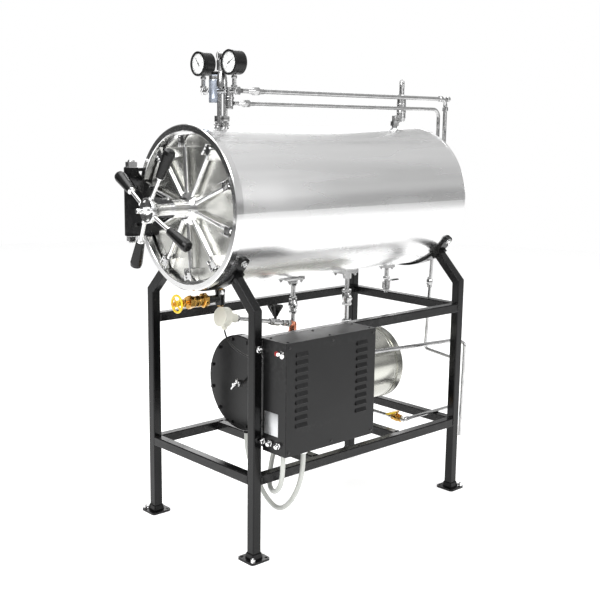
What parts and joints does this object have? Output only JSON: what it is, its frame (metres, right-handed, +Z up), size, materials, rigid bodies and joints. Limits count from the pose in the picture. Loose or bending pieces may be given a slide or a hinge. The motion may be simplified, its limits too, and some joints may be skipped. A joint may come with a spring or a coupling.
{
  "type": "horizontal autoclave",
  "caption": "Horizontal pressure cooker for jars on a square-tube stand, with a round hinged door locked by radial bars and a hand wheel, a boiler below and a side control box.",
  "frame": {"origin": "on the floor, at the centre of the four feet's bolt holes", "axes": "+Z up; +Y from the door end to the rear end, along the vessel; +X to the side of the control box"},
  "size_m": [0.772, 1.458, 1.733],
  "materials": {
    "black_paint": "semi-gloss black paint",
    "polished_steel": "mirror-polished stainless steel",
    "brushed_steel": "brushed stainless steel",
    "steel_cladding": "polished stainless cladding",
    "bright_steel": "bright turned steel",
    "dark_steel": "machined steel",
    "white_rubber": "white silicone rubber",
    "black_plastic": "black phenolic plastic",
    "pipe_steel": "plain steel pipe and fittings",
    "gauge_case": "black case with a white dial",
    "valve_brass": "bare brass",
    "yellow_wheel": "yellow paint",
    "white_plastic": "white plastic",
    "cable_skin": "black cable sheath",
    "conduit_skin": "grey flexible conduit"
  },
  "bodies": {
    "frame": {"leg_front_left": "black_paint", "leg_front_right": "black_paint", "leg_rear_left": "black_paint", "leg_rear_right": "black_paint", "saddle_front": "black_paint", "saddle_rear": "black_paint", "rail_upper_left": "black_paint", "rail_upper_right": "black_paint", "rail_upper_rear": "black_paint", "rail_lower_left": "black_paint", "rail_lower_right": "black_paint", "rail_lower_front": "black_paint", "rail_lower_rear": "black_paint", "boiler_cradle_front": "black_paint", "boiler_cradle_rear": "black_paint", "boiler_cover": "black_paint", "control_box": "black_paint", "hinge_lug_upper": "black_paint", "hinge_lug_lower": "black_paint", "front_ring": "polished_steel", "chamber": "brushed_steel", "boiler_shell": "brushed_steel", "cladding": "steel_cladding", "hinge_pin": "bright_steel", "door_gasket": "white_rubber", "manifold": "pipe_steel", "pipe_upper": "pipe_steel", "pipe_lower": "pipe_steel", "safety_valve_rear": "pipe_steel", "feed_pipe_front": "pipe_steel", "feed_pipe_rear": "pipe_steel", "bleed_valve": "pipe_steel", "boiler_pipes": "pipe_steel", "rear_pipe": "pipe_steel", "gauge_left": "gauge_case", "gauge_right": "gauge_case", "drain_valve_body": "valve_brass", "blowdown_valve": "valve_brass", "pressure_switch": "white_plastic", "switch_cable": "cable_skin", "conduit_long": "conduit_skin", "conduit_short": "conduit_skin"},
    "door": {"door_plate": "polished_steel", "bar_guides": "dark_steel", "bar_drum": "dark_steel", "hub_sleeve": "polished_steel", "hinge_arm": "black_paint"},
    "hand_wheel": {"hand_wheel": "bright_steel", "wheel_grips": "black_plastic"},
    "drain_wheel": {"drain_valve_wheel": "yellow_wheel"},
    "locking_bar_01": {"locking_bar_01": "bright_steel"},
    "locking_bar_02": {"locking_bar_02": "bright_steel"},
    "locking_bar_03": {"locking_bar_03": "bright_steel"},
    "locking_bar_04": {"locking_bar_04": "bright_steel"},
    "locking_bar_05": {"locking_bar_05": "bright_steel"},
    "locking_bar_06": {"locking_bar_06": "bright_steel"},
    "locking_bar_07": {"locking_bar_07": "bright_steel"},
    "locking_bar_08": {"locking_bar_08": "bright_steel"},
    "locking_bar_09": {"locking_bar_09": "bright_steel"},
    "locking_bar_10": {"locking_bar_10": "bright_steel"}
  },
  "joints": [
    {"name": "door_swing", "type": "hinge", "parent": "frame", "child": "door", "pos_m": [-0.276, -0.637, 1.199], "axis": [0, 0, -1], "range_deg": [0, 120]},
    {"name": "wheel_turn", "type": "hinge", "parent": "door", "child": "hand_wheel", "pos_m": [0, -0.7, 1.199], "axis": [0, 1, 0], "range_deg": [0, 360]},
    {"name": "drain_wheel_turn", "type": "hinge", "parent": "frame", "child": "drain_wheel", "pos_m": [0, -0.64, 0.87], "axis": [0, -1, 0], "range_deg": [0, 720]},
    {"name": "locking_bar_01_slide", "type": "slide", "parent": "door", "child": "locking_bar_01", "axis": [-0.0698, 0, 0.9976], "range_m": [0, 0.022]},
    {"name": "locking_bar_02_slide", "type": "slide", "parent": "door", "child": "locking_bar_02", "axis": [0.5299, 0, 0.848], "range_m": [0, 0.022]},
    {"name": "locking_bar_03_slide", "type": "slide", "parent": "door", "child": "locking_bar_03", "axis": [0.9272, 0, 0.3746], "range_m": [0, 0.022]},
    {"name": "locking_bar_04_slide", "type": "slide", "parent": "door", "child": "locking_bar_04", "axis": [0.9703, 0, -0.2419], "range_m": [0, 0.022]},
    {"name": "locking_bar_05_slide", "type": "slide", "parent": "door", "child": "locking_bar_05", "axis": [0.6428, 0, -0.766], "range_m": [0, 0.022]},
    {"name": "locking_bar_06_slide", "type": "slide", "parent": "door", "child": "locking_bar_06", "axis": [0.0698, 0, -0.9976], "range_m": [0, 0.022]},
    {"name": "locking_bar_07_slide", "type": "slide", "parent": "door", "child": "locking_bar_07", "axis": [-0.5299, 0, -0.848], "range_m": [0, 0.022]},
    {"name": "locking_bar_08_slide", "type": "slide", "parent": "door", "child": "locking_bar_08", "axis": [-0.9272, 0, -0.3746], "range_m": [0, 0.022]},
    {"name": "locking_bar_09_slide", "type": "slide", "parent": "door", "child": "locking_bar_09", "axis": [-0.9703, 0, 0.2419], "range_m": [0, 0.022]},
    {"name": "locking_bar_10_slide", "type": "slide", "parent": "door", "child": "locking_bar_10", "axis": [-0.6428, 0, 0.766], "range_m": [0, 0.022]}
  ],
  "couplings": [
    {"joint": "locking_bar_01_slide", "follows": "wheel_turn", "m_per_rad": 0.0035},
    {"joint": "locking_bar_02_slide", "follows": "wheel_turn", "m_per_rad": 0.0035},
    {"joint": "locking_bar_03_slide", "follows": "wheel_turn", "m_per_rad": 0.0035},
    {"joint": "locking_bar_04_slide", "follows": "wheel_turn", "m_per_rad": 0.0035},
    {"joint": "locking_bar_05_slide", "follows": "wheel_turn", "m_per_rad": 0.0035},
    {"joint": "locking_bar_06_slide", "follows": "wheel_turn", "m_per_rad": 0.0035},
    {"joint": "locking_bar_07_slide", "follows": "wheel_turn", "m_per_rad": 0.0035},
    {"joint": "locking_bar_08_slide", "follows": "wheel_turn", "m_per_rad": 0.0035},
    {"joint": "locking_bar_09_slide", "follows": "wheel_turn", "m_per_rad": 0.0035},
    {"joint": "locking_bar_10_slide", "follows": "wheel_turn", "m_per_rad": 0.0035}
  ]
}
